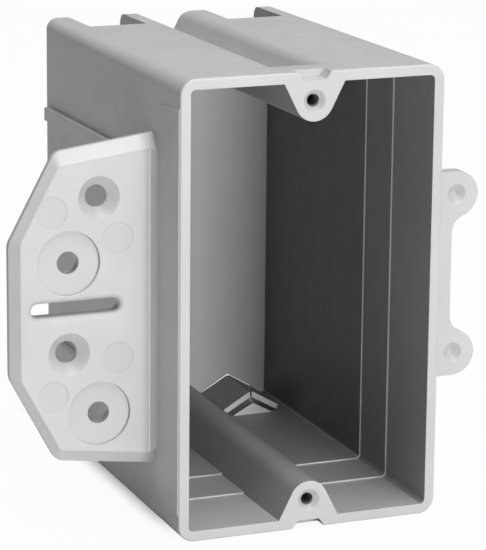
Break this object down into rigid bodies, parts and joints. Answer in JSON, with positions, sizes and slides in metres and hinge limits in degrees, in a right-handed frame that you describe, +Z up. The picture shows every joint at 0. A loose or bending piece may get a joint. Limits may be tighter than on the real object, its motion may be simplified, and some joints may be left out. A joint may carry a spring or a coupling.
{
  "type": "switch box",
  "caption": "Deep plastic switch box with a nailing bracket, side ears, screw bosses and sprung cable entries.",
  "frame": {"origin": "centre of the front opening, in the plane of the rim, midway between the device screws", "axes": "+X right, +Y back into the wall, +Z up, seen from the open front"},
  "size_m": [0.1027, 0.0873, 0.0952],
  "materials": {
    "grey_moulding": "matte, as moulded"
  },
  "bodies": {
    "box": {"box": "grey_moulding"},
    "clamp_flap_top_left_outer": {"clamp_flap_top_left_outer": "grey_moulding"},
    "clamp_flap_top_left_inner": {"clamp_flap_top_left_inner": "grey_moulding"},
    "clamp_flap_top_right_outer": {"clamp_flap_top_right_outer": "grey_moulding"},
    "clamp_flap_top_right_inner": {"clamp_flap_top_right_inner": "grey_moulding"},
    "clamp_flap_bottom_left_outer": {"clamp_flap_bottom_left_outer": "grey_moulding"},
    "clamp_flap_bottom_left_inner": {"clamp_flap_bottom_left_inner": "grey_moulding"},
    "clamp_flap_bottom_right_outer": {"clamp_flap_bottom_right_outer": "grey_moulding"},
    "clamp_flap_bottom_right_inner": {"clamp_flap_bottom_right_inner": "grey_moulding"}
  },
  "joints": [
    {"name": "top_left_outer_flap_hinge", "type": "hinge", "parent": "box", "child": "clamp_flap_top_left_outer", "pos_m": [-0.0222, 0.07795, 0.04382], "axis": [0, 1, 0], "range_deg": [0, 40], "stiffness_Nm_per_rad": 0.15},
    {"name": "top_left_inner_flap_hinge", "type": "hinge", "parent": "box", "child": "clamp_flap_top_left_inner", "pos_m": [-0.0101, 0.07795, 0.04382], "axis": [0, -1, 0], "range_deg": [0, 40], "stiffness_Nm_per_rad": 0.15},
    {"name": "top_right_outer_flap_hinge", "type": "hinge", "parent": "box", "child": "clamp_flap_top_right_outer", "pos_m": [0.0222, 0.07795, 0.04382], "axis": [0, -1, 0], "range_deg": [0, 40], "stiffness_Nm_per_rad": 0.15},
    {"name": "top_right_inner_flap_hinge", "type": "hinge", "parent": "box", "child": "clamp_flap_top_right_inner", "pos_m": [0.0101, 0.07795, 0.04382], "axis": [0, 1, 0], "range_deg": [0, 40], "stiffness_Nm_per_rad": 0.15},
    {"name": "bottom_left_outer_flap_hinge", "type": "hinge", "parent": "box", "child": "clamp_flap_bottom_left_outer", "pos_m": [-0.0222, 0.07795, -0.04382], "axis": [0, -1, 0], "range_deg": [0, 40], "stiffness_Nm_per_rad": 0.15},
    {"name": "bottom_left_inner_flap_hinge", "type": "hinge", "parent": "box", "child": "clamp_flap_bottom_left_inner", "pos_m": [-0.0101, 0.07795, -0.04382], "axis": [0, 1, 0], "range_deg": [0, 40], "stiffness_Nm_per_rad": 0.15},
    {"name": "bottom_right_outer_flap_hinge", "type": "hinge", "parent": "box", "child": "clamp_flap_bottom_right_outer", "pos_m": [0.0222, 0.07795, -0.04382], "axis": [0, 1, 0], "range_deg": [0, 40], "stiffness_Nm_per_rad": 0.15},
    {"name": "bottom_right_inner_flap_hinge", "type": "hinge", "parent": "box", "child": "clamp_flap_bottom_right_inner", "pos_m": [0.0101, 0.07795, -0.04382], "axis": [0, -1, 0], "range_deg": [0, 40], "stiffness_Nm_per_rad": 0.15}
  ]
}
